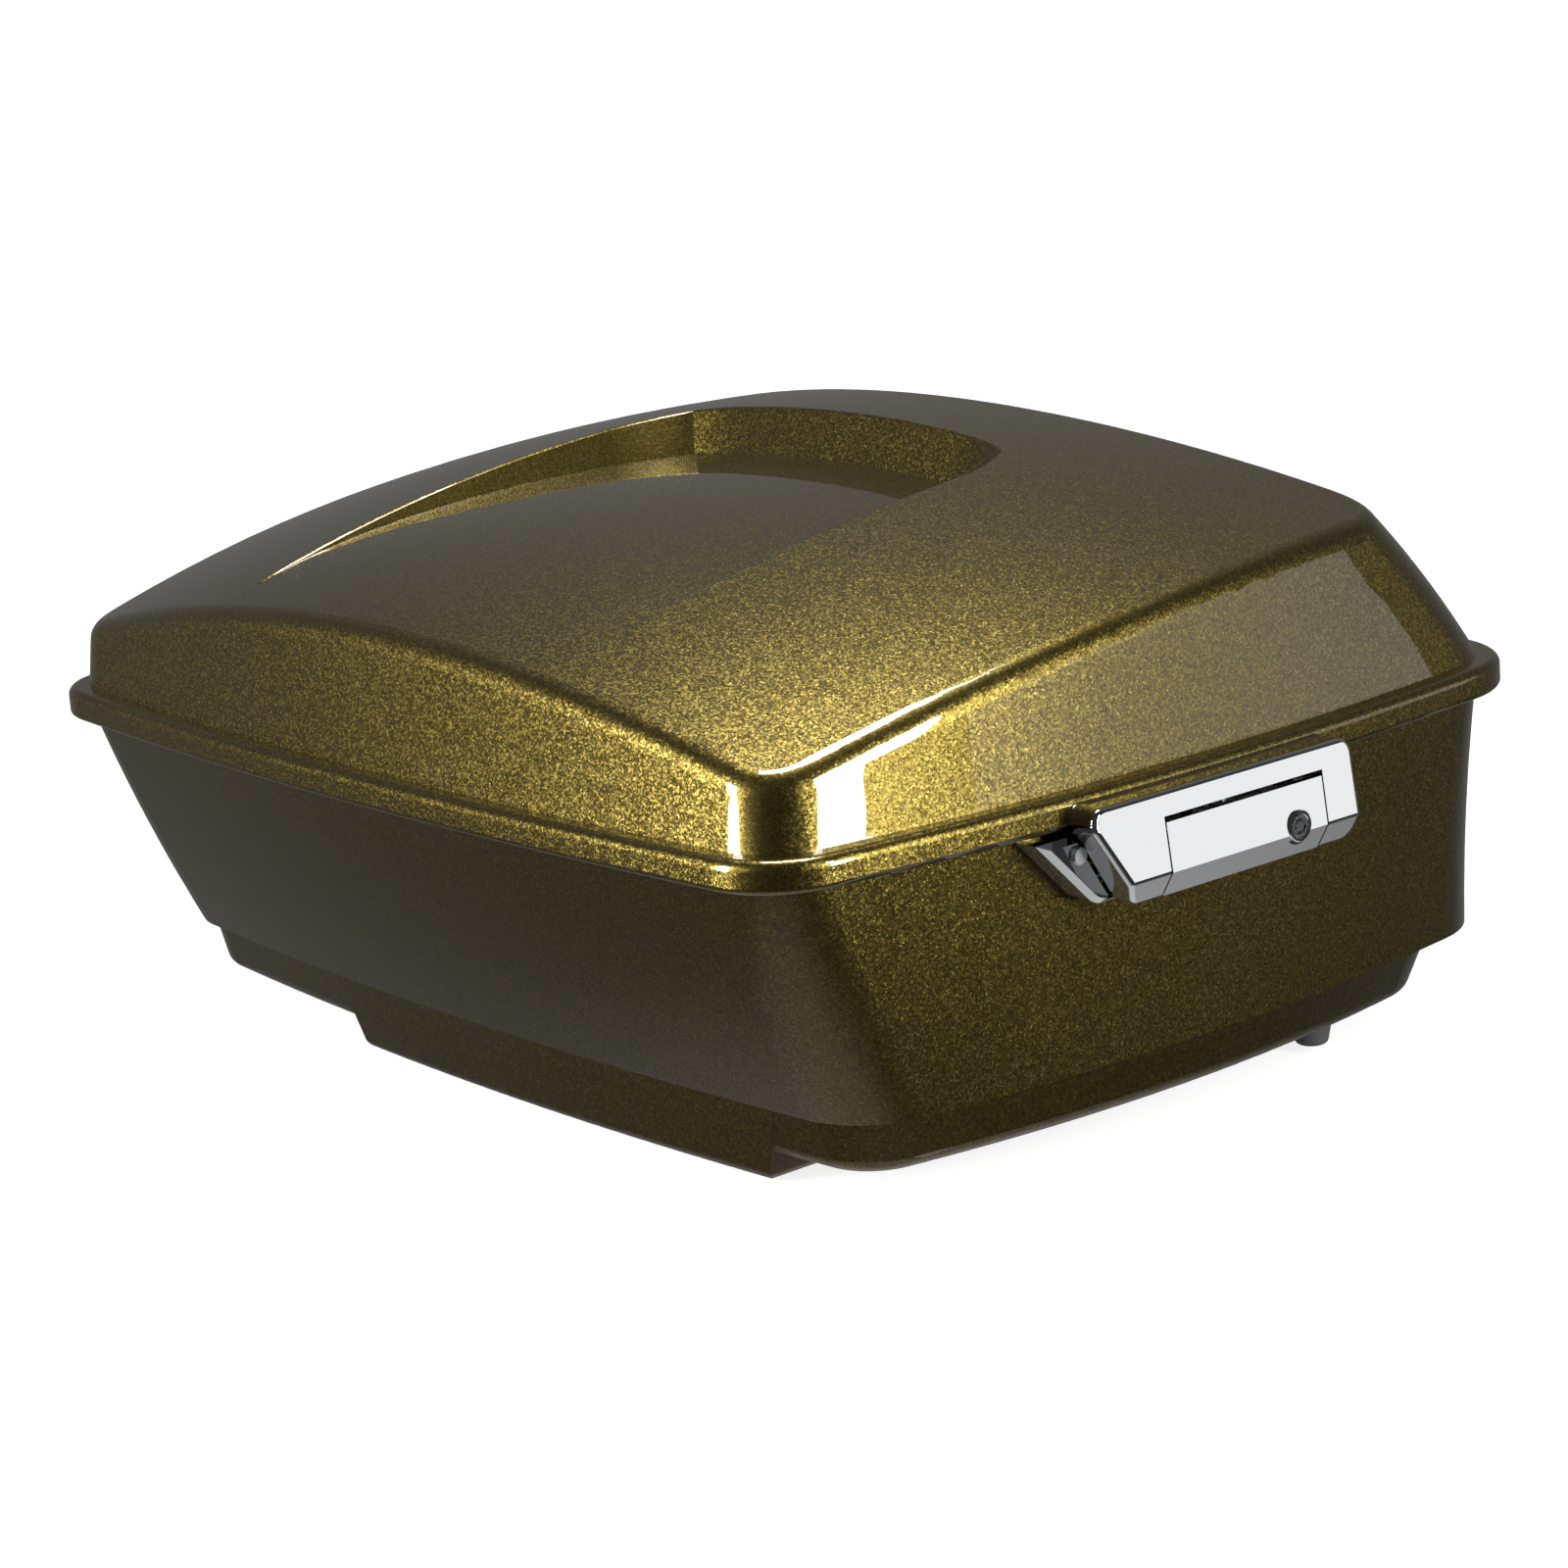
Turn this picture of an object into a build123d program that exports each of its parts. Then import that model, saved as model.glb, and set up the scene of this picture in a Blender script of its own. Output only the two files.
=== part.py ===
from build123d import *
import os
from math import atan2, degrees, hypot, radians, sqrt, tan

# Motorcycle top case: a moulded tub and a lid hinged on the left, with a keyed latch on the right.
# Millimetres. +X is the latch side, +Y the rider's side, +Z up. The origin is the centre of the
# rack bolt pattern in the underside of the base.

# ---- heights above the underside of the base
outer_base_z = 15.5        # underside of the shallow outer part of the base
step_z = 45.5              # step between the base and the tub walls
parting_z = 176.5          # lower edge of the lid's band, where lid and tub part
band_height = 16.5
lid_rise = 145.5           # from there to the top of the lid
crown_z = parting_z + lid_rise

# ---- plan of the lid's band
rim_half_x = 345.0
rim_half_y = 275.0
side_bow = 22.0
rear_bow = 16.0
front_bow = 8.0
rear_corner_r = 46.0
front_corner_r = 60.0

# ---- walls and gaps
wall = 3.2
lid_wall = 3.2
band_wall = 4.0
tub_inset = 12.0           # tub wall, inside the band's face
ledge_width = 11.0         # flat ledge between the band's edge and the foot of the lid's wall
flange_reach = 6.0         # tub rim flange, outward from the tub wall
flange_rise = 5.0          # underside of that flange above the parting height
flange_thickness = 3.0
seal_gap = 0.3

# ---- tub
tub_foot_inset_x = 20.0    # side walls at the step, inside the band's face
tub_foot_inset_rear = 61.0
tub_foot_inset_front = 12.5
rear_bulge = 4.0           # how far the rear wall bows out halfway up
base_inset = 6.0           # width of the step
base_front_inset = 20.0
base_draft = 6.0
keel_left_x = -120.0       # the deeper middle of the base
keel_right_x = 222.0
keel_edge_run = 16.0

# ---- lid crown
crown_radius = 1150.0
crown_front_y = 105.0      # where the crown is highest
lid_side_draft = 0.09      # inward lean of the lid's walls, per unit of height
lid_rear_draft = 0.10
front_face_lean = 0.95
front_face_bulge = 12.0
crease_r = 14.0

# ---- recess in the lid
recess_half_x = 150.0
recess_front_y = 84.0
recess_soft_y = -190.0      # where the floor starts to rise out of the crown
recess_fade_run = 55.0      # from there to where it has run out
recess_depth = 27.0
recess_wall_angle = 38.0
recess_corner_r = 34.0
recess_lip_r = 2.0

# ---- latch: X positions follow the band's face, and heights are above the parting height
bezel_top_z = 12.5
bezel_foot_z = -40.0
bezel_crease_z = -27.0
bezel_top_x = rim_half_x + 16.0
bezel_crease_x = rim_half_x + 21.0
bezel_foot_x = rim_half_x + 13.0
bezel_top_y = (-98.0, 85.0)
bezel_foot_y = (-66.0, 86.0)
bezel_corner_r = 8.0
bezel_edge_r = 3.0
bezel_wall = 2.5
bezel_hang_x = rim_half_x + 2.5     # back edge of the bezel below the band
paddle_y = (-45.5, 61.5)
paddle_top_z = -2.6
paddle_gap = 1.0
slot_height = 3.0
paddle_thickness = 3.2
paddle_pivot = (rim_half_x + 14.0, -7.0)
paddle_boss_r = 4.4
pivot_pin_r = 1.5
running_gap = 0.06
lug_thickness = 3.5
lug_gap = 1.2
hook_pivot = (rim_half_x + 4.5, -17.0)
hook_shaft_r = 2.5
hook_ys = (-58.0, 72.0)
hook_width = 8.0
crank = (-6.0, 5.0)         # from a pivot to its link pin
crank_y = -23.6
crank_thickness = 2.4
link_pin_r = 1.2
link_half_width = 2.4
striker_bar_centre = (rim_half_x - 3.5, -27.4)
striker_bar_r = 2.5
striker_front_x = rim_half_x + 0.5
striker_top_z = -3.0
striker_top_y = (-112.0, 96.0)
striker_foot_y = (-76.0, 92.0)
striker_floor = 1.8         # wall of the cup under the hooks
pocket_y = (-70.0, 84.0)
lock_y = 42.0
lock_z = -23.5
lock_ring_r = 8.0
lock_core_r = 5.5
lock_tail_x = rim_half_x + 9.4
cam_thickness = 1.6
cam_reach = 10.5
latch_plate_x = bezel_hang_x
latch_plate_y = (-79.0, 80.0)
latch_plate_z = (1.5, 9.5)
ear_ys = (-66.5, 5.0, 80.0)
ear_thickness = 2.0
latch_screw_ys = (-76.0, -30.0, 32.0, 72.0)
latch_screw_z = 5.5
latch_screw_r = 2.0
striker_screw_ys = (-88.0, 0.0, 50.0)
striker_screw_z = -12.0

# ---- hinges: heights above the parting height
hinge_axis = (-rim_half_x - 6.0, -2.0)
hinge_ys = (-110.0, 110.0)
hinge_width = 56.0
hinge_knuckles = 5
hinge_knuckle_r = 4.0
hinge_pin_r = 2.0
hinge_leaf = 2.0
knuckle_gap = 0.3
tub_leaf_x = -rim_half_x + 9.5
tub_leaf_foot_z = -38.0
tub_screw_z = -24.0
lid_leaf_top_z = 13.0
rivet_z = 8.0
hinge_screw_pitch = 32.0
screw_r = 2.5

# ---- base hardware
bolt_spacing_x = 140.0
bolt_spacing_y = 220.0
bolt_hole_r = 4.5
rack_plate_margin = 18.0
rack_plate_thickness = 2.0
mat_thickness = 5.0
mat_margin = 6.0
mat_gap = 0.3
mat_hole_r = 13.0
bumper_x = rim_half_x - 57.0
bumper_y = 125.0
bumper_r = 11.0
bumper_drop = 12.0
grommet_z = 64.0
grommet_r = 8.0
grommet_bore_r = 5.0
grommet_lip = 2.5


def plan(z, inset=0.0, left_right=0.0, rear=0.0, front=0.0):
    """Bowed, round-cornered outline of the case at height z, as a face."""
    half_x = rim_half_x - inset - left_right
    y_rear = -rim_half_y + inset + rear
    y_front = rim_half_y - inset - front
    x_corner = half_x - side_bow
    rear_corner = y_rear + rear_bow
    front_corner = y_front - front_bow
    y_mid = (rear_corner + front_corner) / 2
    corners = [(-x_corner, rear_corner), (x_corner, rear_corner),
               (x_corner, front_corner), (-x_corner, front_corner)]
    middles = [(0, y_rear), (half_x, y_mid), (0, y_front), (-half_x, y_mid)]
    arcs = [ThreePointArc(corners[i], middles[i], corners[(i + 1) % 4]) for i in range(4)]
    face = make_face(arcs)
    rear_r = max(rear_corner_r - inset, 8.0)
    front_r = max(front_corner_r - inset, 8.0)
    face = fillet(face.vertices().sort_by(Axis.Y)[:2], rear_r)
    face = fillet(face.vertices().sort_by(Axis.Y)[-2:], front_r)
    return Pos(0, 0, z) * face


def tub_body(inset, top_z):
    """Tub volume with every outer surface moved in by inset, open upwards to top_z."""
    foot = plan(step_z + inset, inset, tub_foot_inset_x, tub_foot_inset_rear, tub_foot_inset_front)
    half_way = (step_z + parting_z) / 2
    middle_rear = (tub_foot_inset_rear + tub_inset) / 2 - rear_bulge
    middle_x = (tub_foot_inset_x + tub_inset) / 2
    middle = plan(half_way, inset, middle_x, middle_rear, (tub_foot_inset_front + tub_inset) / 2)
    rim = plan(parting_z, inset + tub_inset)
    walls = loft([foot, middle, rim]) + extrude(rim, top_z - parting_z)
    return walls + base_body(inset)


def base_body(inset):
    """Base below the step: a shallow outer part and a deeper middle."""
    side, rear, front = tub_foot_inset_x, tub_foot_inset_rear, tub_foot_inset_front
    top_inset = base_inset + inset
    foot_inset = top_inset + base_draft
    top = plan(step_z + inset, top_inset, side, rear, front + base_front_inset)
    shallow = plan(outer_base_z + inset, foot_inset, side, rear, front + base_front_inset + 10)
    deep = plan(inset, foot_inset + 2, side, rear, front + base_front_inset + 14)
    outer = loft([shallow, top])
    outer = fillet(outer.faces().sort_by(Axis.Z)[0].edges(), max(9.0 - inset, 2.0))
    run = keel_edge_run
    ramp = Polyline((keel_left_x - run + inset, step_z + inset),
                    (keel_left_x + inset, inset), (keel_right_x - inset, inset),
                    (keel_right_x + run - inset, step_z + inset), close=True)
    slab = extrude(Plane.XZ * make_face(ramp), rim_half_y, both=True)
    middle = loft([deep, top]) & slab
    middle = fillet(middle.faces().sort_by(Axis.Z)[0].edges(), max(7.0 - inset, 2.0))
    return outer + middle


def tub_shell():
    flange_z = parting_z + flange_rise
    rim_top = flange_z + flange_thickness
    flange = extrude(plan(flange_z, tub_inset - flange_reach), flange_thickness)
    shell = tub_body(0.0, rim_top) + flange - tub_body(wall, rim_top + 1)
    shell -= [tub_screw_shank(y) for y in hinge_screw_places()]
    shell -= [striker_screw_shank(y) for y in striker_screw_ys]
    return shell - upright_holes(bolt_hole_r) - grommet_hole()


def crown_ball(drop=0.0):
    """Ball whose upper surface is the lid's crown; its poles lie along Y, clear of the lid."""
    centre_z = crown_z - crown_radius
    return Pos(0, crown_front_y, centre_z) * Rot(90, 0, 0) * Sphere(crown_radius - drop)


def crown_height(y, drop=0.0):
    """Height of the crown on the centre line."""
    radius = crown_radius - drop
    return crown_z - crown_radius + sqrt(radius ** 2 - (y - crown_front_y) ** 2)


def lid_dome(inset):
    """Lid volume above the ledge, with its surfaces moved in by inset."""
    foot_z = parting_z + band_height - (band_wall if inset else 0.0)
    rise = crown_z + 25 - foot_z
    half = 0.42
    base = ledge_width + inset
    foot = plan(foot_z, base)
    middle = plan(foot_z + half * rise, base, half * rise * lid_side_draft,
                  half * rise * lid_rear_draft,
                  half * rise * front_face_lean - front_face_bulge)
    top = plan(foot_z + rise, base, rise * lid_side_draft, rise * lid_rear_draft,
               rise * front_face_lean)
    dome = loft([foot, middle, top]) & crown_ball(inset)
    crease = dome.faces().sort_by(Axis.Z)[-1].edges()
    return fillet(crease, max(crease_r - inset, 2.0))


def recess_floor_depth(y):
    """Depth of the recess floor below the crown: it runs out softly towards the rear."""
    run = y - recess_soft_y
    slope = recess_depth / (recess_front_y - recess_soft_y)
    blend = 55.0
    soft = slope * (run + sqrt(run ** 2 + blend ** 2)) / 2
    return soft - slope * (sqrt(recess_fade_run ** 2 + blend ** 2) - recess_fade_run) / 2


def recess_tool(inset):
    """What the recess takes out of the lid; a positive inset gives the underside of its walls."""
    axis_z = crown_z - crown_radius
    rear_y = recess_soft_y - recess_fade_run - 40
    front_y = recess_front_y + 60
    steps = 9
    ys = [rear_y + (front_y - rear_y) * i / (steps - 1) for i in range(steps)]
    rims = [(0, y, crown_height(y, inset) - recess_floor_depth(y)) for y in ys]
    below = 120
    profile = make_face([Spline(*rims), Line(rims[-1], (0, front_y, rims[-1][2] - below)),
                         Line((0, front_y, rims[-1][2] - below), (0, rear_y, rims[0][2] - below)),
                         Line((0, rear_y, rims[0][2] - below), rims[0])])
    spin = Axis((0, 0, axis_z), (0, 1, 0))
    turn = 40
    floor = revolve(profile.rotate(spin, -turn / 2), spin, turn)
    rise = 40.0
    grow = rise * tan(radians(recess_wall_angle)) + inset
    rear_end = recess_soft_y - recess_fade_run - 20
    middle_y = (recess_front_y + rear_end) / 2
    length = recess_front_y - rear_end + 2 * grow
    mouth = RectangleRounded(2 * (recess_half_x + grow), length, recess_corner_r + grow)
    wedge = extrude(mouth, -100, taper=recess_wall_angle)
    front_z, rear_z = crown_height(recess_front_y), crown_height(rear_end)
    slope = degrees(atan2(front_z - rear_z, recess_front_y - rear_end))
    frame = Pos(0, middle_y, (front_z + rear_z) / 2) * Rot(slope, 0, 0) * Pos(0, 0, rise)
    return frame * wedge - floor


def lid_band():
    band = extrude(plan(parting_z), band_height)
    band = fillet(band.faces().sort_by(Axis.Z)[-1].edges(), 5.0)
    return fillet(band.faces().sort_by(Axis.Z)[0].edges(), 3.5)


def lid_shell():
    ledge_under = parting_z + band_height - band_wall
    outer = lid_band() + soften_recess(lid_dome(0.0) - recess_tool(0.0))
    hollow = extrude(plan(parting_z - 1, band_wall), ledge_under - parting_z + 1)
    hollow += lid_dome(lid_wall) - recess_tool(lid_wall)
    shell = outer - hollow
    shell -= [rivet_shank(y) for y in hinge_screw_places()]
    return shell - [latch_screw_shank(y) for y in latch_screw_ys]


def on_crown(edge):
    """True for an edge of the recess that lies on the crown."""
    axis_z = crown_z - crown_radius
    if not recess_soft_y - recess_fade_run + 10 < (edge @ 0.5).Y < recess_front_y + 10:
        return False
    for share in (0.05, 0.5, 0.95):
        p = edge @ share
        level = crown_height(p.Y) - axis_z
        if abs(p.X) > recess_half_x + 10 or abs(hypot(p.X, p.Z - axis_z) - level) > 0.2:
            return False
    return True


def soften_recess(solid):
    """Rounds the lip of the recess."""
    return fillet([e for e in solid.edges() if on_crown(e)], recess_lip_r)


# ---- helpers for hardware
def level(z):
    """Height in the case of a height that is given above the parting height."""
    return parting_z + z


def rod_x(x0, x1, y, z, r):
    return Pos((x0 + x1) / 2, y, z) * Rot(0, 90, 0) * Cylinder(r, abs(x1 - x0))


def rod_y(y0, y1, x, z, r):
    return Pos(x, (y0 + y1) / 2, z) * Rot(90, 0, 0) * Cylinder(r, abs(y1 - y0))


def brick(x, y, z):
    """Box between the given (low, high) pairs."""
    return Pos(sum(x) / 2, sum(y) / 2, sum(z) / 2) * Box(x[1] - x[0], y[1] - y[0], z[1] - z[0])


def strip_y(outline, y0, y1):
    """Prism of an X-Z outline between two Y positions; heights are above the parting height."""
    face = make_face(Polyline(*[(x, level(z)) for x, z in outline], close=True))
    return Pos(0, y1, 0) * extrude(Plane.XZ * face, y1 - y0)


def bar_between(a, b, half_width, y0, y1):
    """Flat bar with round ends between two X-Z points, between two Y positions."""
    turn = degrees(atan2(b[1] - a[1], b[0] - a[0]))
    length = hypot(b[0] - a[0], b[1] - a[1])
    shape = SlotCenterToCenter(length, 2 * half_width)
    bar = extrude(shape, y1 - y0)
    middle = Pos((a[0] + b[0]) / 2, y1, level((a[1] + b[1]) / 2))
    return middle * Rot(90, 0, 0) * Rot(0, 0, turn) * bar


def plan_prism(inset, z0, z1):
    return extrude(plan(z0, inset), z1 - z0)


# ---- hinge side
def hinge_screw_places():
    return [y + side * hinge_screw_pitch / 2 for y in hinge_ys for side in (-1, 1)]


def rivet_shank(y):
    return rod_x(-rim_half_x - 4, -rim_half_x + 14, y, level(rivet_z), screw_r)


def tub_screw_shank(y):
    return rod_x(-rim_half_x, -rim_half_x + 40, y, level(tub_screw_z), screw_r)


def knuckles(y_mid, first):
    """Alternate knuckles of one hinge, counted from its rear end."""
    pitch = hinge_width / hinge_knuckles
    start = y_mid - hinge_width / 2
    return [(start + i * pitch + knuckle_gap / 2, start + (i + 1) * pitch - knuckle_gap / 2)
            for i in range(first, hinge_knuckles, 2)]


def hinge_leaf_solid(y_mid, first, tongue, pad):
    """One leaf: knuckles, the tongues that carry them, and the pad that is fastened."""
    x, z = hinge_axis
    leaf = pad
    for y0, y1 in knuckles(y_mid, first):
        leaf += brick((x, tongue[0]), (y0, y1), (level(tongue[1]), level(tongue[2])))
        leaf += rod_y(y0, y1, x, level(z), hinge_knuckle_r)
    return leaf - rod_y(y_mid - hinge_width, y_mid + hinge_width, x, level(z), hinge_pin_r + running_gap)


def hinge_lid_leaf(y_mid):
    z_axis = hinge_axis[1]
    span = (y_mid - hinge_width / 2, y_mid + hinge_width / 2)
    foot = z_axis + hinge_knuckle_r - hinge_leaf
    heights = (level(foot), level(lid_leaf_top_z))
    pad = brick((hinge_axis[0] + hinge_knuckle_r, -rim_half_x + 10), span, heights)
    leaf = hinge_leaf_solid(y_mid, 1, (-rim_half_x, foot, foot + hinge_leaf), pad)
    leaf -= plan_prism(0.0, parting_z, level(band_height))
    return leaf - [rivet_shank(y) for y in hinge_screw_places()]


def hinge_tub_leaf(y_mid, tub):
    z_axis = hinge_axis[1]
    span = (y_mid - hinge_width / 2, y_mid + hinge_width / 2)
    top = z_axis - hinge_knuckle_r + hinge_leaf
    pad = brick((tub_leaf_x, tub_leaf_x + 20), span, (level(tub_leaf_foot_z), level(top)))
    leaf = hinge_leaf_solid(y_mid, 0, (tub_leaf_x + 2, top - hinge_leaf, top), pad)
    return leaf - tub - [tub_screw_shank(y) for y in hinge_screw_places()]


def hinge_pin(y_mid):
    x, z = hinge_axis
    ends = y_mid - hinge_width / 2, y_mid + hinge_width / 2
    pin = rod_y(ends[0] - 1.5, ends[1] + 1.5, x, level(z), hinge_pin_r)
    for end in (ends[0] - 1.5, ends[1] + 0.2):
        pin += rod_y(end, end + 1.3, x, level(z), hinge_pin_r + 1)
    return pin


def screw_heads(ys, x_face, z, direction):
    """Domed heads against a face; direction is -1 where the heads look towards -X."""
    heads = []
    for y in ys:
        head = rod_x(x_face, x_face + direction * 2.4, y, z, screw_r + 2.2)
        heads.append(chamfer(head.faces().sort_by(Axis.X)[0 if direction < 0 else -1].edges(), 0.8))
    return heads


# ---- latch side
def latch_screw_shank(y):
    return rod_x(rim_half_x - 16, bezel_hang_x + 6, y, level(latch_screw_z), latch_screw_r)


def striker_screw_shank(y):
    return rod_x(rim_half_x - 30, striker_front_x + 1, y, level(striker_screw_z), screw_r)


def bezel_outline(shrink):
    """Front view of the bezel, in Y and Z."""
    top, foot = level(bezel_top_z), level(bezel_foot_z)
    face = make_face(Polyline((bezel_top_y[0], top), (bezel_top_y[1], top), (bezel_foot_y[1], foot),
                              (bezel_foot_y[0], foot), close=True))
    face = fillet(face.vertices(), bezel_corner_r)
    return offset(face, -shrink) if shrink else face


def face_profile(depth, back):
    """Side view of the latch face, moved in by depth, back to the X position back."""
    top, foot = bezel_top_z - depth, bezel_foot_z + depth
    return [(back, top), (bezel_top_x - depth, top), (bezel_crease_x - depth, bezel_crease_z),
            (bezel_foot_x - depth, foot), (back, foot)]


def on_bezel_front(point):
    return point.X > bezel_foot_x - 0.5 and point.Z > level(bezel_foot_z) + 2


def latch_bezel():
    back = rim_half_x - 6
    reach = bezel_crease_x + 10
    front = extrude(Plane.YZ * bezel_outline(0.0), reach) & strip_y(face_profile(0.0, back), -150, 150)
    front = fillet([e for e in front.edges() if on_bezel_front(e @ 0.5)], bezel_edge_r)
    hollow = extrude(Plane.YZ * bezel_outline(bezel_wall), reach) & strip_y(
        face_profile(bezel_wall, back - 10), -150, 150)
    shell = front - hollow
    shell -= brick((back - 10, bezel_hang_x), (-150, 150), (level(bezel_foot_z - 5), level(-1)))
    opening_y = (paddle_y[0] - paddle_gap, paddle_y[1] + paddle_gap)
    opening_top = level(paddle_top_z + slot_height)
    opening = brick((bezel_hang_x, bezel_crease_x + 5), opening_y, (level(bezel_foot_z - 5), opening_top))
    shell -= opening
    pivot_x, pivot_z = paddle_pivot
    for y0 in (opening_y[0] - lug_gap - lug_thickness, opening_y[1] + lug_gap):
        lug = strip_y([(pivot_x - 5, 1.0), (bezel_top_x + 1, 1.0), (bezel_top_x + 1.5, pivot_z - 5),
                       (pivot_x - 5, pivot_z - 5)], y0, y0 + lug_thickness)
        bore_r = pivot_pin_r + running_gap
        shell += lug - rod_y(y0 - 1, y0 + lug_thickness + 1, pivot_x, level(pivot_z), bore_r)
    for y in latch_screw_ys:
        shell += rod_x(latch_plate_x, bezel_top_x - 1, y, level(latch_screw_z), 4.2)
    shell -= plan_prism(0.0, parting_z, level(band_height + 2))
    return shell - [latch_screw_shank(y) for y in latch_screw_ys]


def latch_paddle():
    """Pull paddle with its pivot boss, the crank that drives the hooks and the lock's seat."""
    pivot_x, pivot_z = paddle_pivot
    back = pivot_x - paddle_boss_r
    face = strip_y(face_profile(0.0, back), *paddle_y)
    hollow = strip_y(face_profile(paddle_thickness, back - 5), *paddle_y)
    top = brick((back - 10, bezel_crease_x), (-150, 150), (level(paddle_top_z), level(bezel_top_z + 5)))
    shell = face - hollow - top
    shell += rod_y(*paddle_y, pivot_x, level(pivot_z), paddle_boss_r)
    link_pin = (pivot_x + crank[0], pivot_z + crank[1])
    arm_y = (crank_y - crank_thickness / 2, crank_y + crank_thickness / 2)
    arm = bar_between(paddle_pivot, link_pin, 2.8, *arm_y)
    shell += arm
    shell += rod_x(lock_tail_x + 2, bezel_crease_x - 2, lock_y, level(lock_z), lock_ring_r + 1.6)
    shell -= rod_x(lock_tail_x - 5, bezel_crease_x + 5, lock_y, level(lock_z), lock_ring_r)
    shell -= rod_y(paddle_y[0] - 1, paddle_y[1] + 1, pivot_x, level(pivot_z), pivot_pin_r)
    return shell - rod_y(crank_y - 3, crank_y + 3, link_pin[0], level(link_pin[1]), link_pin_r)


def lock_ring():
    x0, x1 = lock_tail_x + 2, bezel_crease_x + 0.6
    ring = rod_x(x0, x1, lock_y, level(lock_z), lock_ring_r)
    ring -= rod_x(x0 - 1, x1 + 1, lock_y, level(lock_z), lock_core_r + running_gap)
    return chamfer(ring.faces().sort_by(Axis.X)[-1].edges(), 0.6)


def lock_core():
    """Tubular lock cylinder: a ring slot around a centre post, with one key notch."""
    x1 = bezel_crease_x + 0.2
    core = rod_x(lock_tail_x, x1, lock_y, level(lock_z), lock_core_r)
    slot = rod_x(x1 - 6, x1 + 1, lock_y, level(lock_z), 4.1)
    slot -= rod_x(x1 - 7, x1 + 2, lock_y, level(lock_z), 2.7)
    notch = brick((x1 - 6, x1 + 1), (lock_y - 0.8, lock_y + 0.8), (level(lock_z + 2), level(lock_z + 5)))
    return core - slot - notch


def lock_cam():
    """Flat tongue on the tail of the lock, pointing down when unlocked."""
    x0 = lock_tail_x - cam_thickness
    disc = rod_x(x0, lock_tail_x, lock_y, level(lock_z), 4.0)
    tongue = brick((x0, lock_tail_x), (lock_y - 3, lock_y + 3), (level(lock_z - cam_reach), level(lock_z)))
    return disc + tongue


def paddle_pin():
    return rod_y(paddle_y[0] - paddle_gap - lug_gap - lug_thickness - 0.5,
                 paddle_y[1] + paddle_gap + lug_gap + lug_thickness + 0.5,
                 paddle_pivot[0], level(paddle_pivot[1]), pivot_pin_r)


def latch_plate():
    """Steel plate on the band's face with the ears that carry the hook shaft."""
    x0 = rim_half_x - 8
    low, high = latch_plate_z
    plate = brick((x0, latch_plate_x), latch_plate_y, (level(low), level(high)))
    x, z = hook_pivot
    for y in ear_ys:
        nose = [(x + 5, z + 6), (x + 5, z - 4.5), (x - 4, z - 4.5), (x - 4.5, -1.0)]
        ear = strip_y([(x0, high), (latch_plate_x, high), *nose, (x0, low)], y - ear_thickness, y)
        plate += ear - rod_y(y - 5, y + 5, x, level(z), hook_shaft_r + running_gap)
    plate -= plan_prism(0.0, parting_z - 0.5, level(band_height + 1))
    return plate - [latch_screw_shank(y) for y in latch_screw_ys]


def hook_shaft():
    """Shaft that turns both hooks, with the crank that the link pulls."""
    x, z = hook_pivot
    shaft = rod_y(ear_ys[0] - ear_thickness - 0.8, ear_ys[-1] + 0.8, x, level(z), hook_shaft_r)
    link_pin = (x + crank[0], z + crank[1])
    y0, y1 = crank_y - crank_thickness / 2, crank_y + crank_thickness / 2
    shaft += rod_y(y0, y1, x, level(z), hook_shaft_r + 2) + bar_between(hook_pivot, link_pin, 2.8, y0, y1)
    return shaft - rod_y(y0 - 1, y1 + 1, link_pin[0], level(link_pin[1]), link_pin_r)


def latch_hook(y):
    """Hook whose nose lies under the striker bar."""
    x, z = hook_pivot
    nose_top = striker_bar_centre[1] - striker_bar_r - 0.7
    arm = strip_y([(x - 2.5, z), (x + 4.2, z), (x + 3.0, nose_top - 3.5), (x - 0.5, nose_top - 5.0),
                   (striker_bar_centre[0] - 3, nose_top - 3.8), (striker_bar_centre[0] - 3, nose_top),
                   (x - 3.0, nose_top)], y - hook_width / 2, y + hook_width / 2)
    arm += rod_y(y - hook_width / 2, y + hook_width / 2, x, level(z), hook_shaft_r + 2.4)
    return arm - rod_y(y - 10, y + 10, x, level(z), hook_shaft_r)


def trip_link():
    a = (paddle_pivot[0] + crank[0], paddle_pivot[1] + crank[1])
    b = (hook_pivot[0] + crank[0], hook_pivot[1] + crank[1])
    y0 = crank_y + crank_thickness / 2 + 0.3
    link = bar_between(a, b, link_half_width, y0, y0 + 2)
    for p in (a, b):
        link -= rod_y(y0 - 1, y0 + 3, p[0], level(p[1]), link_pin_r + running_gap)
    return link


def link_pin(pivot):
    x, z = pivot[0] + crank[0], pivot[1] + crank[1]
    y0 = crank_y - crank_thickness / 2
    y1 = crank_y + crank_thickness / 2 + 0.3 + 2
    pin = rod_y(y0, y1 + 0.8, x, level(z), link_pin_r)
    return pin + rod_y(y1 + 0.3, y1 + 1.1, x, level(z), link_pin_r + 0.9)


def hook_spring():
    """Torsion spring around the hook shaft."""
    turns, wire = 6, 1.0
    radius = hook_shaft_r + 1.2
    y0 = 18.0
    coil = Helix(pitch=1.6, height=turns * 1.6, radius=radius)
    section = Plane(origin=coil @ 0, z_dir=coil % 0) * Circle(wire / 2)
    spring = sweep(section, path=coil)
    return Pos(hook_pivot[0], y0, level(hook_pivot[1])) * Rot(-90, 0, 0) * spring


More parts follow.
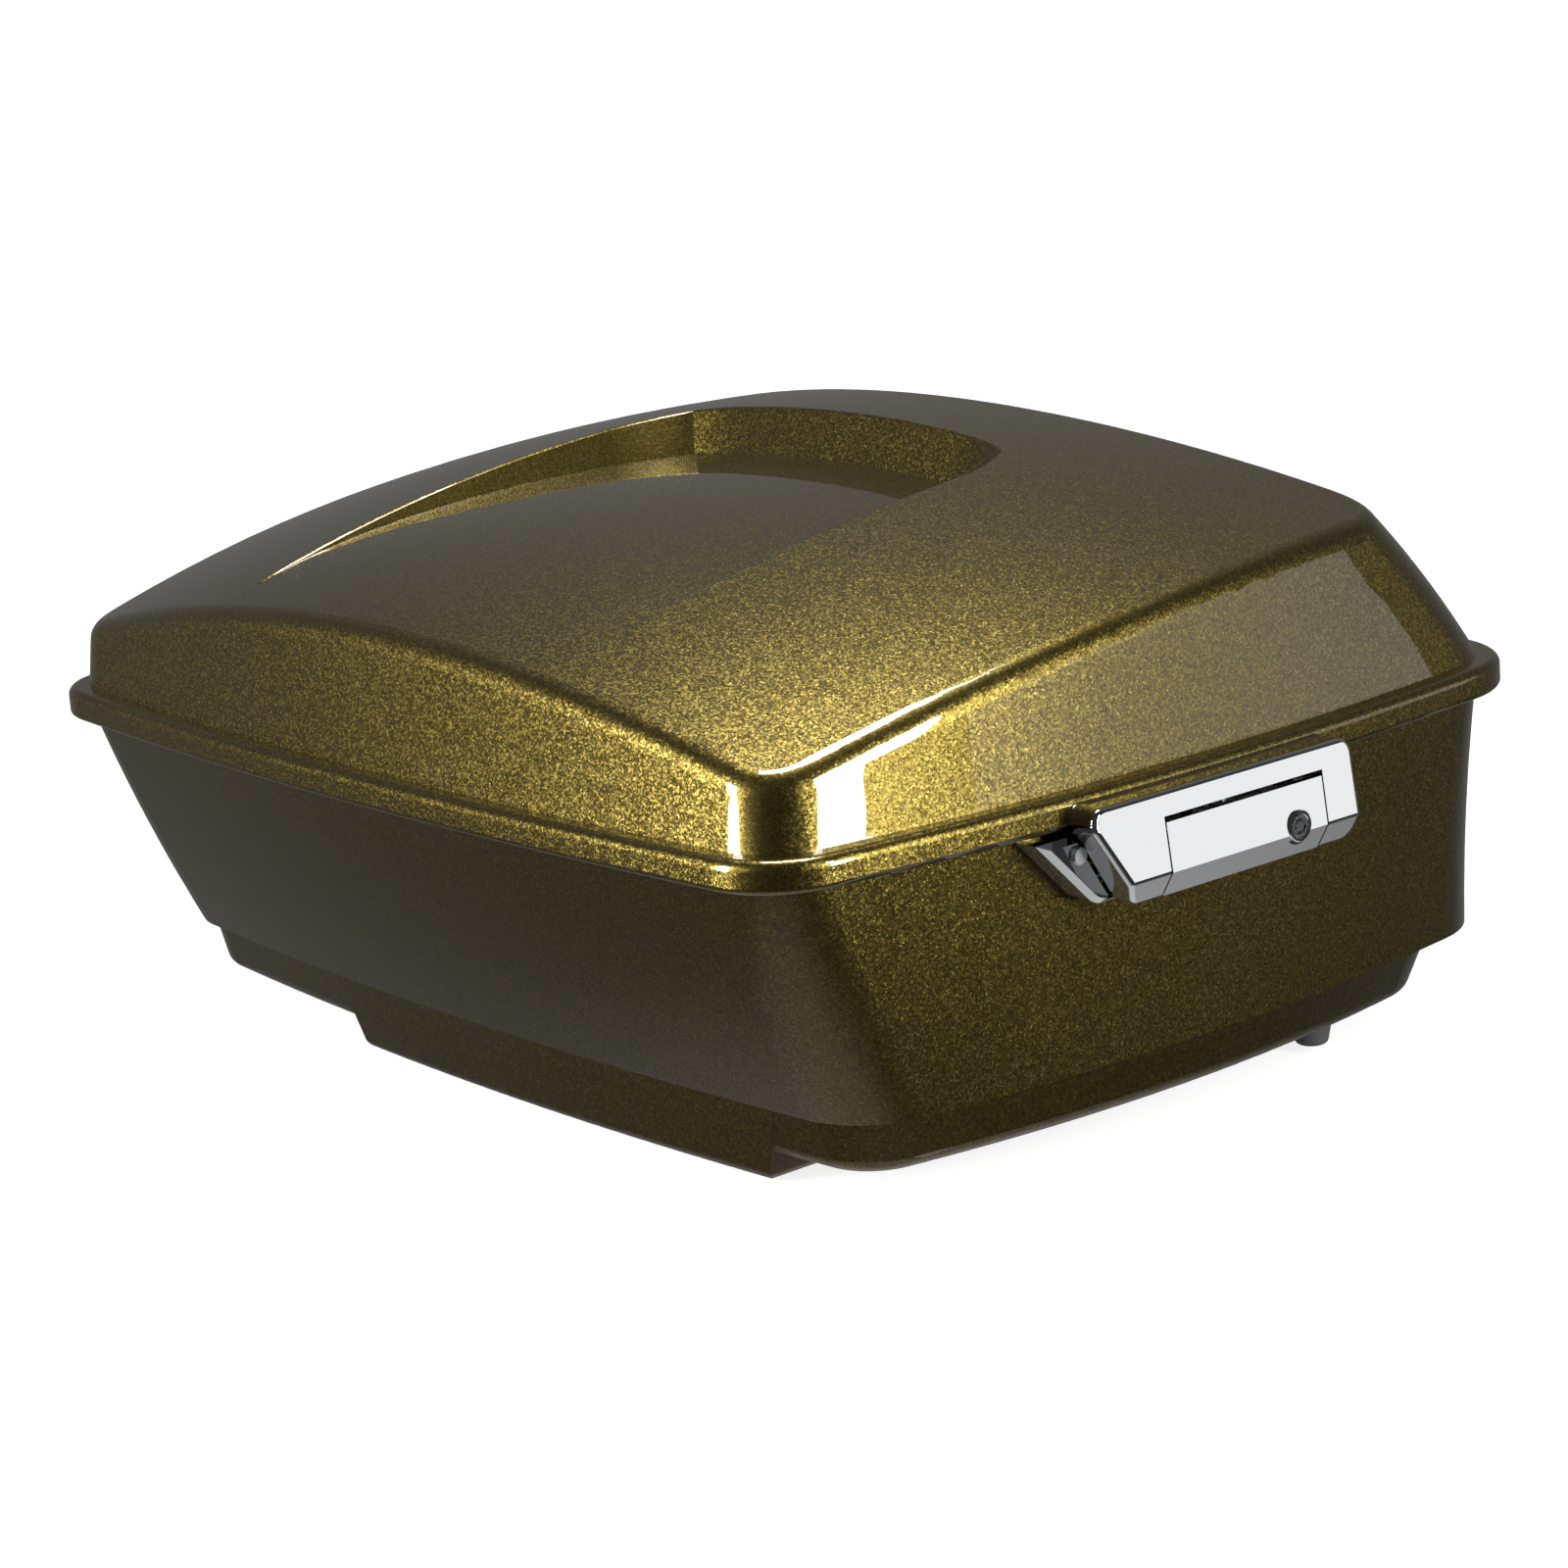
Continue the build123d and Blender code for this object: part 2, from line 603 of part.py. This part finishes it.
def striker_base(tub):
    """Bright cup on the tub wall that the hooks drop into."""
    top, foot = level(striker_top_z), level(bezel_foot_z)
    corners = [(y, top) for y in striker_top_y] + [(y, foot) for y in reversed(striker_foot_y)]
    outline = make_face(Polyline(*corners, close=True))
    outline = fillet(outline.vertices().sort_by(Axis.Y)[:2], 14)
    cup = extrude(Plane.YZ * outline, striker_front_x)
    front = cup.faces().sort_by(Axis.X)[-1]
    cup = chamfer(front.edges(), 3.0) - brick((-1, rim_half_x - 30), (-200, 200), (0, 300))
    pocket_z = (level(bezel_foot_z + striker_floor), level(0))
    pocket = brick((rim_half_x - 10, striker_front_x + 1), pocket_y, pocket_z)
    cup = cup - pocket - tub
    x, z = striker_bar_centre
    cup -= rod_y(pocket_y[0] - 4, pocket_y[1] + 4, x, level(z), striker_bar_r)
    return cup - [striker_screw_shank(y) for y in striker_screw_ys]


def striker_bar():
    x, z = striker_bar_centre
    return rod_y(pocket_y[0] - 4, pocket_y[1] + 4, x, level(z), striker_bar_r)


# ---- base
def bolt_places():
    return [(sx * bolt_spacing_x / 2, sy * bolt_spacing_y / 2) for sx in (-1, 1) for sy in (-1, 1)]


def upright_holes(r):
    return [Pos(x, y, 5) * Cylinder(r, 40) for x, y in bolt_places()]


def rack_plate():
    x = bolt_spacing_x / 2 + rack_plate_margin
    y = bolt_spacing_y / 2 + rack_plate_margin
    plate = extrude(RectangleRounded(2 * x, 2 * y, 10), rack_plate_thickness)
    return Pos(0, 0, wall) * plate - upright_holes(bolt_hole_r)


def floor_mat():
    """Ribbed rubber mat on the floor of the keel, with wells over the bolts and the plate."""
    x0, x1 = keel_left_x + mat_margin, keel_right_x - mat_margin
    y0 = -rim_half_y + tub_foot_inset_rear + base_inset + base_draft + wall + 16
    y1 = rim_half_y - tub_foot_inset_front - base_front_inset - base_inset - base_draft - wall - 28
    mat = extrude(RectangleRounded(x1 - x0, y1 - y0, 16), mat_thickness)
    pitch = 24.0
    count = int((x1 - x0 - 40) / pitch)
    for i in range(count):
        rib_x = -(count - 1) * pitch / 2 + i * pitch
        mat += Pos(rib_x, 0, mat_thickness) * extrude(RectangleRounded(5, y1 - y0 - 40, 2.4), 1.2)
    mat = Pos((x0 + x1) / 2, (y0 + y1) / 2, wall) * mat
    x = bolt_spacing_x / 2 + rack_plate_margin + mat_gap
    y = bolt_spacing_y / 2 + rack_plate_margin + mat_gap
    mat -= brick((-x, x), (-y, y), (0, wall + rack_plate_thickness))
    return mat - upright_holes(mat_hole_r)


def bumper(x):
    pad = Cone(bumper_r - 2.5, bumper_r, bumper_drop, align=(Align.CENTER, Align.CENTER, Align.MAX))
    pad = fillet(pad.faces().sort_by(Axis.Z)[0].edges(), 3.0)
    return Pos(x, bumper_y, outer_base_z) * pad


def grommet_hole():
    return Pos(0, rim_half_y, grommet_z) * Rot(90, 0, 0) * Cylinder(grommet_r, 60)


def wire_grommet(tub):
    y_face = rim_half_y - tub_inset
    ring = Cylinder(grommet_r + 3, wall + 2 * grommet_lip)
    ring = Pos(0, y_face - wall / 2, grommet_z) * Rot(90, 0, 0) * ring
    ring -= Pos(0, y_face, grommet_z) * Rot(90, 0, 0) * Cylinder(grommet_bore_r, 60)
    return ring - tub


def rim_seal():
    z0 = level(flange_rise + flange_thickness + seal_gap)
    z1 = level(band_height - band_wall)
    outer = tub_inset - flange_reach + 0.8
    return plan_prism(outer, z0, z1) - plan_prism(outer + 4.8, z0 - 1, z1 + 1)


def fasteners():
    """Screws, rivets and nuts, each kind as one group of solids."""
    inside = tub_body(wall, level(1))
    wall_x = rim_half_x - tub_inset
    hinge_ys_all = hinge_screw_places()
    heads = screw_heads(hinge_ys_all, tub_leaf_x, level(tub_screw_z), -1)
    hinge_screws = [head + rod_x(tub_leaf_x, -wall_x + 13, y, level(tub_screw_z), screw_r)
                    for head, y in zip(heads, hinge_ys_all)]
    nut_x = -wall_x + wall
    nuts = [rod_x(nut_x - 3, nut_x + 9, y, level(tub_screw_z), screw_r + 2.5)
            - rod_x(nut_x - 20, nut_x + 20, y, level(tub_screw_z), screw_r) & inside for y in hinge_ys_all]
    pad_x = hinge_axis[0] + hinge_knuckle_r
    heads = screw_heads(hinge_ys_all, pad_x, level(rivet_z), -1)
    skin = plan_prism(0.0, parting_z, level(band_height))
    skin -= plan_prism(band_wall, parting_z, level(band_height))
    gap = brick((pad_x, -rim_half_x + 30), (-200, 200), (level(0), level(band_height)))
    gap = gap - plan_prism(0.0, parting_z - 1, level(band_height + 1)) + skin
    rivets = [head + (rod_x(pad_x, -rim_half_x + 13, y, level(rivet_z), screw_r) & gap)
              for head, y in zip(heads, hinge_ys_all)]
    inner = plan_prism(band_wall, parting_z, level(band_height))
    latch_screws = [rod_x(rim_half_x - 15, bezel_hang_x + 5, y, level(latch_screw_z), latch_screw_r) - inner
                    for y in latch_screw_ys]
    back_x = rim_half_x - 10
    striker_screws = []
    for y in striker_screw_ys:
        in_pocket = pocket_y[0] < y < pocket_y[1]
        head_x = back_x if in_pocket else striker_front_x
        head = screw_heads([y], head_x, level(striker_screw_z), 1)[0]
        striker_screws.append(head + rod_x(wall_x - 16, head_x, y, level(striker_screw_z), screw_r))
    striker_nuts = [rod_x(wall_x - 14, wall_x, y, level(striker_screw_z), screw_r + 2.5)
                    - rod_x(wall_x - 20, wall_x + 5, y, level(striker_screw_z), screw_r) & inside
                    for y in striker_screw_ys]
    return {"hinge_tub_screws": hinge_screws, "hinge_tub_nuts": nuts, "hinge_lid_rivets": rivets,
            "latch_screws": latch_screws, "striker_screws": striker_screws, "striker_nuts": striker_nuts}


def build():
    tub = tub_shell()
    tub_solid = tub_body(0.0, level(1))
    nodes = {
        "tub_shell": tub,
        "lid_shell": lid_shell(),
        "rim_seal": rim_seal(),
        "floor_mat": floor_mat(),
        "rack_plate": rack_plate(),
        "base_bumpers": [bumper(-bumper_x), bumper(bumper_x)],
        "wire_grommet": wire_grommet(tub),
        "latch_bezel": latch_bezel(),
        "latch_paddle": latch_paddle(),
        "paddle_pin": paddle_pin(),
        "lock_ring": lock_ring(),
        "lock_core": lock_core(),
        "lock_cam": lock_cam(),
        "latch_plate": latch_plate(),
        "hook_shaft": hook_shaft(),
        "hook_spring": hook_spring(),
        "trip_link": trip_link(),
        "upper_link_pin": link_pin(paddle_pivot),
        "lower_link_pin": link_pin(hook_pivot),
        "striker_base": striker_base(tub_solid),
        "striker_bar": striker_bar(),
    }
    for name, y in zip(("rear", "front"), hook_ys):
        nodes[f"latch_hook_{name}"] = latch_hook(y)
    for name, y in zip(("rear", "front"), hinge_ys):
        nodes[f"hinge_tub_leaf_{name}"] = hinge_tub_leaf(y, tub_solid)
        nodes[f"hinge_lid_leaf_{name}"] = hinge_lid_leaf(y)
        nodes[f"hinge_pin_{name}"] = hinge_pin(y)
    nodes.update(fasteners())
    return nodes


def solids_of(part):
    """Every solid of a part or of a list of parts."""
    pieces = part if isinstance(part, list) else [part]
    return [solid for piece in pieces for solid in piece.solids()]


os.makedirs("parts", exist_ok=True)
for node, part in build().items():
    solids = solids_of(part)
    shape = solids[0] if len(solids) == 1 else Compound(children=solids)
    export_step(shape, f"parts/{node}.step")
    print(node, len(solids), round(sum(s.volume for s in solids)))
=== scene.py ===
import math

import bmesh
import bpy
from mathutils import Matrix, Vector


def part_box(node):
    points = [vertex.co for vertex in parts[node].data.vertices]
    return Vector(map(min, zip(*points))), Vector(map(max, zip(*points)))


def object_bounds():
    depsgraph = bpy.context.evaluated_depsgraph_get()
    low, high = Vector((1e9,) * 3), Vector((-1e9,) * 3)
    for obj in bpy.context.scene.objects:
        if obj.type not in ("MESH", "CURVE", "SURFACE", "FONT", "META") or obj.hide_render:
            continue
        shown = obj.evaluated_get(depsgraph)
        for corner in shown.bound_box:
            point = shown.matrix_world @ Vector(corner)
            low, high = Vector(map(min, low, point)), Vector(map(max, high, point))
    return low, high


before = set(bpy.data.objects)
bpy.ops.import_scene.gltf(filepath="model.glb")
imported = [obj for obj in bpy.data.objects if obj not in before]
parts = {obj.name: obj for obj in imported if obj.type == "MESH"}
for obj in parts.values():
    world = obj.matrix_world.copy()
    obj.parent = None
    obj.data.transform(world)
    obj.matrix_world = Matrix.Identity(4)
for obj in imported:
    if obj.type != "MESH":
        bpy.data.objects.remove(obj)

# %% [markdown]
# # A motorcycle top case
#
# A top case is a moulded plastic trunk that bolts to the rack behind the pillion seat. This one has a
# deep tub, a domed lid with a shallow recess, two hinges on the left and a keyed chrome latch on the
# right. The shapes come in ready made: every part is already in place, in metres. What this lesson adds
# is the look of each finish and the studio round it.
#
# The box of the whole case is measured first, because the camera, the floor and the lights are all
# placed from it.

# %% The case as it comes in
cad_low, cad_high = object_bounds()
centre = (cad_low + cad_high) / 2
print("case", [round(v, 4) for v in (cad_high - cad_low)], "m,", len(parts), "parts")

# %% [markdown]
# ## The camera
#
# A long lens well back from the case keeps its edges nearly parallel, as catalogue pictures do. The
# camera is placed by azimuth and elevation round a point a little below the middle, and it is rolled a
# few degrees, so the case sits slightly turned in the frame.

# %% Camera
def direction(azimuth, elevation):
    """Unit vector from the case; azimuth 0 is straight behind it, and 90 is its latch side."""
    a, e = math.radians(azimuth), math.radians(elevation)
    return Vector((math.sin(a) * math.cos(e), -math.cos(a) * math.cos(e), math.sin(e)))


aim = centre + Vector((0.0039, 0.0054, -0.0337))
camera_azimuth = 51.4
camera_elevation = 14.4
camera_distance = 2.272
camera_roll = -4.1

back = direction(camera_azimuth, camera_elevation)
right = Vector((0, 0, 1)).cross(back).normalized()
up = back.cross(right)
lens = bpy.data.cameras.new("catalogue_lens")
lens.lens = 94.5
lens.sensor_width = 36.0
lens.clip_start, lens.clip_end = 0.1, 100.0
camera = bpy.data.objects.new("catalogue_camera", lens)
bpy.context.scene.collection.objects.link(camera)
turned = Matrix((right, up, back)).transposed() @ Matrix.Rotation(math.radians(camera_roll), 3, "Z")
camera.matrix_world = Matrix.Translation(aim + back * camera_distance) @ turned.to_4x4()
bpy.context.scene.camera = camera
print("camera at", [round(v, 3) for v in camera.location])

# %% [markdown]
# ## Shader sums in plain Python
#
# Most finishes need a little arithmetic: a mask times a noise, one minus a mask. `Wire` wraps one output
# socket, and its operators add the Math nodes, so the sums read as sums. `Finish` holds one material, sets
# the constant values on the shader's own sockets, and adds every other kind of node with one method.

# %% Wires and finishes
def plug(tree, socket, value):
    """Joins a wire to a socket, or sets the socket to a plain value."""
    if isinstance(value, Wire):
        tree.links.new(value.socket, socket)
    else:
        socket.default_value = value


class Wire:
    """One output socket, with arithmetic that adds Math nodes."""

    def __init__(self, tree, socket):
        self.tree, self.socket = tree, socket

    def math(self, operation, *terms):
        node = self.tree.nodes.new("ShaderNodeMath")
        node.operation = operation
        for socket, term in zip(node.inputs, terms):
            plug(self.tree, socket, term)
        return Wire(self.tree, node.outputs[0])

    def __add__(self, other):
        return self.math("ADD", self, other)

    def __rsub__(self, other):
        return self.math("SUBTRACT", other, self)

    def __mul__(self, other):
        return self.math("MULTIPLY", self, other)

    def __pow__(self, other):
        return self.math("POWER", self, other)

    def __lt__(self, other):
        return self.math("LESS_THAN", self, other)

    def __gt__(self, other):
        return self.math("GREATER_THAN", self, other)

    __radd__ = __add__
    __rmul__ = __mul__


class Finish:
    """A material in the making."""

    def __init__(self, name, **constants):
        self.material = bpy.data.materials.new(name)
        self.material.use_nodes = True
        self.tree = self.material.node_tree
        self.shader = self.tree.nodes["Principled BSDF"]
        for socket, value in constants.items():
            self.shader.inputs[socket.replace("_", " ")].default_value = value
        self.here = self.node("TexCoord", out="Object")

    def node(self, kind, settings=(), sockets=(), out=0):
        """Adds a node, sets it up, feeds its sockets and gives back one of its outputs."""
        made = self.tree.nodes.new("ShaderNode" + kind)
        for name, value in dict(settings).items():
            setattr(made, name, value)
        for name, value in dict(sockets).items():
            plug(self.tree, made.inputs[name], value)
        return Wire(self.tree, made.outputs[out])

    def noise(self, scale, detail=2.0, place=None):
        sockets = {"Vector": place or self.here, "Scale": scale, "Detail": detail}
        return self.node("TexNoise", sockets=sockets)

    def stretched(self, scale):
        """Object coordinates stretched by a scale for each axis."""
        return self.node("Mapping", {"vector_type": "POINT"}, {"Vector": self.here, "Scale": scale})

    def mix(self, share, a, b):
        """Colour a, going over to colour b as share rises."""
        sockets = {0: share, 6: a, 7: b}
        return self.node("Mix", {"data_type": "RGBA"}, sockets, out=2)

    def bump(self, height, depth, strength=1.0):
        """Normals bent by a height map whose full range is depth metres."""
        sockets = {"Height": height, "Distance": depth, "Strength": strength}
        return self.node("Bump", sockets=sockets)

    def feed(self, **links):
        for socket, value in links.items():
            plug(self.tree, self.shader.inputs[socket.replace("_", " ")], value)
        return self.material


def grey(value):
    return (value, value, value, 1.0)


# %% [markdown]
# ## Metallic paint under clear coat
#
# The lid and the tub are sprayed olive gold. Metallic paint is a thin dark film full of tiny mirror
# flakes that lie nearly flat, so it flares gold near a lamp's reflection and drops to brown away from it.
# The flakes are a fine Voronoi pattern: each cell gets its own brightness and its own small tilt. A
# smooth clear coat over them gives the sharp second reflection.
#
# Inside, the same mouldings are bare black plastic with a leather grain. One mask separates the two
# faces of the wall: it compares the direction in which the surface faces with the direction from a
# chosen point, so a face that looks back at that point counts as the inside.

# %% Paint
def paint(name, inside_point, bare_above):
    """Metallic paint outside; black grained plastic on faces that look towards inside_point."""
    finish = Finish(name, IOR=1.5, Coat_IOR=1.52, Coat_Roughness=0.012)
    facing = finish.node("TexCoord", out="Normal")
    sockets = {0: finish.here, 1: tuple(inside_point)}
    away = finish.node("VectorMath", {"operation": "SUBTRACT"}, sockets)
    looks = finish.node("VectorMath", {"operation": "DOT_PRODUCT"}, {0: away, 1: facing}, out="Value")
    height = finish.node("SeparateXYZ", sockets={0: finish.here}, out=2)
    bare = (looks < 0.0) * (height > bare_above)

    flake_size = 0.0009
    sockets = {"Vector": finish.here, "Scale": 1 / flake_size}
    flake = finish.node("TexVoronoi", {"voronoi_dimensions": "3D"}, sockets, out="Color")
    spark = finish.node("SeparateColor", sockets={0: flake}, out=0)
    drift = finish.noise(6.0, 1.0)
    shine = spark ** 2.2 * 0.85 + drift * 0.15
    dark_film = (0.070, 0.052, 0.0115, 1)
    gold_flake = (0.212, 0.158, 0.036, 1)
    sprayed = finish.mix(shine, dark_film, gold_flake)

    centred = finish.node("VectorMath", {"operation": "SUBTRACT"}, {0: flake, 1: (0.5, 0.5, 0.5)})
    tilt = finish.node("VectorMath", {"operation": "SCALE"}, {0: centred, "Scale": 0.16})
    face = finish.node("NewGeometry", out="Normal")
    leaning = finish.node("VectorMath", {"operation": "ADD"}, {0: face, 1: tilt})
    flaked = finish.node("VectorMath", {"operation": "NORMALIZE"}, {0: leaning})

    grain_per_metre = 900.0
    sockets = {"Vector": finish.here, "Scale": grain_per_metre}
    grain = finish.node("TexVoronoi", {"feature": "DISTANCE_TO_EDGE"}, sockets)
    grained = finish.bump(grain, 0.0003, 0.6)
    normal = finish.node("Mix", {"data_type": "VECTOR"}, {0: bare, 4: flaked, 5: grained}, out=1)
    return finish.feed(
        Base_Color=finish.mix(bare, sprayed, (0.013, 0.013, 0.014, 1)),
        Metallic=1.0 - bare,
        Roughness=0.36 + bare * 0.22,
        Coat_Weight=1.0 - bare,
        Normal=normal,
    )


tub_low, tub_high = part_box("tub_shell")
lid_low, lid_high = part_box("lid_shell")
mouth = Vector((centre.x, centre.y, tub_high.z + 0.02))
below = Vector((centre.x, centre.y, -0.3))
lip = 0.0045
tub_paint = paint("tub_paint", mouth, tub_low.z - lip)
lid_paint = paint("lid_paint", below, lid_low.z + lip)
print("painted from", round(lid_low.z, 4), "up to", round(lid_high.z, 4))

# %% [markdown]
# ## Chrome
#
# The latch is a polished casting with thick chrome plate. Chrome is nearly a perfect mirror, slightly
# cool in colour. Real plate is never quite even: polishing leaves faint soft patches, which show as a
# small change of roughness, and a very shallow waviness.

# %% Chrome
def chrome(name, polish):
    finish = Finish(name, Metallic=1.0, Base_Color=(0.87, 0.88, 0.89, 1))
    patches = finish.noise(45.0, 3.0)
    wave = finish.noise(25.0, 1.0)
    return finish.feed(Roughness=polish + patches * 0.035, Normal=finish.bump(wave, 0.00003, 0.5))


polished = chrome("polished_chrome", 0.015)
satin = chrome("satin_chrome", 0.16)
print("chrome finishes:", polished.name, "and", satin.name)

# %% [markdown]
# ## Zinc-plated steel and spring steel
#
# Hinges, hooks, pins and the rack plate are pressed or turned steel with bright zinc plate. The plate has
# a bluish, slightly cloudy look, with fine marks along the direction of rolling. The long thin noise gives
# those marks, and a broad noise gives the clouds.

# %% Steel
def steel(name, tint, rough):
    finish = Finish(name, Metallic=1.0)
    clouds = finish.noise(60.0, 4.0)
    marks = finish.noise(1.0, 3.0, finish.stretched((2600.0, 90.0, 2600.0)))
    dull = tuple(0.72 * v for v in tint[:3]) + (1,)
    return finish.feed(
        Base_Color=finish.mix(clouds, dull, tint),
        Roughness=rough + clouds * 0.16 + marks * 0.10,
        Normal=finish.bump(marks, 0.00004, 0.5),
    )


zinc = steel("zinc_plate", (0.66, 0.68, 0.70, 1), 0.22)
spring_wire = steel("spring_wire", (0.38, 0.37, 0.36, 1), 0.30)
print("steel finishes:", zinc.name, "and", spring_wire.name)

# %% [markdown]
# ## Rubber
#
# The seal, the floor mat, the bumpers and the grommet are moulded rubber: nearly black, matt, with a fine
# pebbled skin and a slight greyish bloom where it is handled least.

# %% Rubber
def rubber(name, shade, pebble_size):
    finish = Finish(name, Specular_IOR_Level=0.35)
    bloom = finish.noise(30.0, 4.0)
    pebbles = finish.node("TexVoronoi", {"feature": "SMOOTH_F1"},
                          {"Vector": finish.here, "Scale": 1 / pebble_size})
    return finish.feed(
        Base_Color=finish.mix(bloom, grey(shade), grey(shade * 2.2)),
        Roughness=0.62 + bloom * 0.22,
        Normal=finish.bump(pebbles, 0.00018, 0.7),
    )


seal_rubber = rubber("seal_rubber", 0.012, 0.0009)
mat_rubber = rubber("mat_rubber", 0.018, 0.0016)
print("rubber finishes:", seal_rubber.name, "and", mat_rubber.name)

# %% [markdown]
# ## Each part gets its finish
#
# A part's finish is chosen by what the part is made of. Most small hardware is zinc-plated steel, so that
# is the finish of anything not named here.

# %% Finishes by part
finishes = {
    "tub_shell": tub_paint, "lid_shell": lid_paint,
    "latch_bezel": polished, "latch_paddle": polished, "striker_base": polished, "lock_ring": polished,
    "lock_core": satin, "hook_spring": spring_wire,
    "rim_seal": seal_rubber, "wire_grommet": seal_rubber,
    "floor_mat": mat_rubber, "base_bumpers": mat_rubber,
}
for name, part in parts.items():
    part.data.materials.clear()
    part.data.materials.append(finishes.get(name, zinc))
print(len(parts), "parts finished")

# %% [markdown]
# ## The studio
#
# The floor and the wall are one smooth pale bowl, so there is no horizon line from any side. A floor this
# bright would wash out the paint from below, so the bowl doesn't show in glossy reflections: those see the
# softer surroundings instead, which are dim in front, lighter behind and lightest underneath.

# %% The pale bowl
def lathe(name, outline, steps):
    """Spins an outline of (radius, height) points all the way round Z."""
    shape = bmesh.new()
    rim = [shape.verts.new((radius, 0, height)) for radius, height in outline]
    edges = [shape.edges.new(pair) for pair in zip(rim, rim[1:])]
    bmesh.ops.spin(shape, geom=rim + edges, cent=(0, 0, 0), axis=(0, 0, 1), angle=2 * math.pi,
                   steps=steps, use_merge=True)
    bmesh.ops.remove_doubles(shape, verts=shape.verts, dist=1e-5)
    bmesh.ops.recalc_face_normals(shape, faces=shape.faces)
    mesh = bpy.data.meshes.new(name)
    shape.to_mesh(mesh)
    shape.free()
    mesh.shade_smooth()
    made = bpy.data.objects.new(name, mesh)
    bpy.context.scene.collection.objects.link(made)
    return made


floor_gap = 0.0005
floor_z = cad_low.z - floor_gap
floor_radius, bend, wall_top = 5.0, 2.0, 9.0
outline = [(0.0, floor_z), (floor_radius, floor_z)]
outline += [(floor_radius + bend * math.sin(a), floor_z + bend * (1 - math.cos(a)))
            for a in (math.pi / 2 * i / 12 for i in range(1, 13))]
outline.append((floor_radius + bend, wall_top))
bowl = lathe("pale_bowl", outline, 64)
bowl_finish = Finish("pale_paper", Roughness=0.9, Emission_Color=grey(1.0), Emission_Strength=0.80)
paper = bowl_finish.feed(Base_Color=bowl_finish.mix(bowl_finish.noise(3.0), grey(0.29), grey(0.31)))
bowl.data.materials.append(paper)
bowl.visible_glossy = False
print("bowl", 2 * (floor_radius + bend), "m across,", len(bowl.data.polygons), "faces")

# %% [markdown]
# ## The lamps
#
# Metallic paint is lit by what it mirrors. A tall softbox to the right of the case puts the hard white
# window in the near corner, a second one to the left lights the other side of that corner, and both let
# the flakes flare gold along the walls. A broad dim board gives the chrome something white to mirror, and
# a soft overhead box lights the top.

# %% Softboxes
def softbox(name, azimuth, elevation, distance, width, height, brightness):
    """Rectangular lamp that faces the case; brightness is its radiance."""
    lamp = bpy.data.lights.new(name, "AREA")
    lamp.shape = "RECTANGLE"
    lamp.size, lamp.size_y = width, height
    lamp.energy = 4 * width * height * brightness
    box = bpy.data.objects.new(name, lamp)
    bpy.context.scene.collection.objects.link(box)
    outward = direction(azimuth, elevation)
    box.location = aim + outward * distance
    box.rotation_euler = outward.to_track_quat("Z", "Y").to_euler()
    box.visible_camera = False


softbox("right_window", 102, 8, 3.0, 0.55, 2.2, 30.0)
softbox("left_window", -16, 8, 3.0, 0.74, 2.2, 30.0)
softbox("right_board", 131, 2, 3.2, 1.9, 1.2, 0.72)
softbox("overhead_box", 215, 80, 3.0, 1.3, 0.9, 19.0)
print("lamps:", [lamp.name for lamp in bpy.data.lights])

# %% [markdown]
# ## The surroundings
#
# What the glossy surfaces see between the lamps is a simple gradient: lightest underneath, dark in front,
# and a little lighter behind. Two smooth ramps, over the direction of the ray, add to a faint base.

# %% Surroundings
world = bpy.data.worlds.new("studio")
bpy.context.scene.world = world
world.use_nodes = True
sky = world.node_tree
ray = Wire(sky, sky.nodes.new("ShaderNodeTexCoord").outputs["Generated"])


def toward(outward):
    """How far the ray points along a direction, from -1 to 1."""
    node = sky.nodes.new("ShaderNodeVectorMath")
    node.operation = "DOT_PRODUCT"
    plug(sky, node.inputs[0], ray)
    plug(sky, node.inputs[1], tuple(outward))
    return Wire(sky, node.outputs["Value"])


def ramp(value, low, high):
    """0 below low, 1 above high, smooth between."""
    node = sky.nodes.new("ShaderNodeMapRange")
    node.interpolation_type = "SMOOTHSTEP"
    for socket, term in zip(node.inputs, (value, low, high, 0.0, 1.0)):
        plug(sky, socket, term)
    return Wire(sky, node.outputs[0])


behind = ramp(toward(-direction(camera_azimuth, 0)), -0.2, 0.9)
underneath = ramp(toward((0, 0, -1)), 0.60, 0.90)
glow = 0.03 + behind * 0.12 + underneath * 0.42
plug(sky, sky.nodes["Background"].inputs["Color"], glow)
bpy.context.scene.view_settings.view_transform = "Standard"
print("surroundings made of", len(sky.nodes), "nodes")
